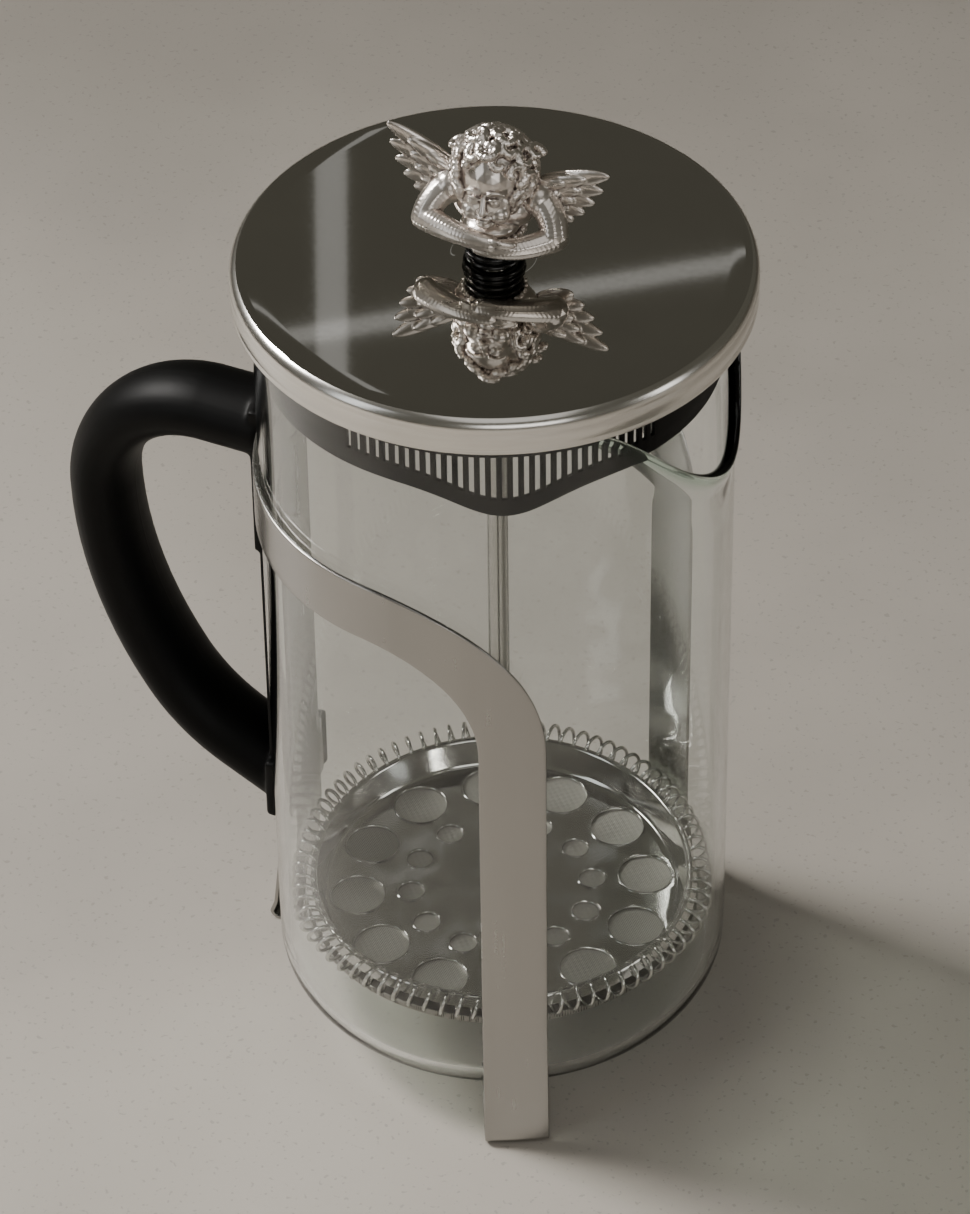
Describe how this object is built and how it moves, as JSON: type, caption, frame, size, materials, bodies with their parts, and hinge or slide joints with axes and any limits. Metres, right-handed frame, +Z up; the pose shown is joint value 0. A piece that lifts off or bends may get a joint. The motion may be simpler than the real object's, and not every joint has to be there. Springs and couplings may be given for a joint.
{
  "type": "french press",
  "caption": "Glass coffee press in a three-legged steel strip frame with a black loop handle, mirror lid, slotted strainer, coil-edged plunger and a winged bust knob.",
  "frame": {"origin": "centre of the whole press's footprint box, on the surface that the feet stand on; the press axis stands 23 mm towards the lip from it", "axes": "+Z up along the press axis, -X towards the handle, +X towards the pouring lip"},
  "size_m": [0.15, 0.104, 0.2262],
  "materials": {
    "frame_steel": "satin brushed strip with bright cut edges",
    "fastener_steel": "plain machined steel",
    "handle_plastic": "black, fine matte grain",
    "insert_brass": "plain turned brass",
    "beaker_glass": "clear borosilicate, fire-polished rim",
    "bush_plastic": "black nylon",
    "lid_steel": "mirror-polished top, satin skirt",
    "strainer_plastic": "black moulded",
    "rod_steel": "drawn bright rod",
    "collar_plastic": "black, ribbed",
    "knob_metal": "bright plated casting",
    "plate_steel": "polished pressed sheet",
    "spring_wire": "bright drawn wire",
    "mesh_wire": "fine woven wire"
  },
  "bodies": {
    "root": {"frame_strip_right": "frame_steel", "frame_strip_left": "frame_steel", "rear_leg": "frame_steel", "frame_rivets": "fastener_steel", "handle_grip": "handle_plastic", "handle_screw": "fastener_steel", "handle_insert": "insert_brass"},
    "beaker": {"glass_beaker": "beaker_glass"},
    "lid_guide": {"lid_bush": "bush_plastic", "lid_lock_ring": "fastener_steel"},
    "lid": {"lid_cover": "lid_steel", "lid_strainer": "strainer_plastic"},
    "plunger": {"plunger_rod": "rod_steel", "knob_collar": "collar_plastic", "knob_stud": "insert_brass", "knob_figure": "knob_metal", "rod_stop_nut": "fastener_steel", "spring_plate": "plate_steel", "coil_spring": "spring_wire", "mesh_screen": "mesh_wire", "cross_plate": "plate_steel", "hub_nut": "fastener_steel"}
  },
  "joints": [
    {"name": "beaker_lift", "type": "slide", "parent": "root", "child": "beaker", "axis": [0, 0, 1], "range_m": [0, 0.15]},
    {"name": "lid_lift", "type": "slide", "parent": "beaker", "child": "lid_guide", "axis": [0, 0, 1], "range_m": [0, 0.185]},
    {"name": "lid_turn", "type": "hinge", "parent": "lid_guide", "child": "lid", "pos_m": [0.023, 0, 0.19], "axis": [0, 0, 1], "continuous": true},
    {"name": "plunger_press", "type": "slide", "parent": "lid_guide", "child": "plunger", "axis": [0, 0, 1], "range_m": [0, 0.132]}
  ]
}
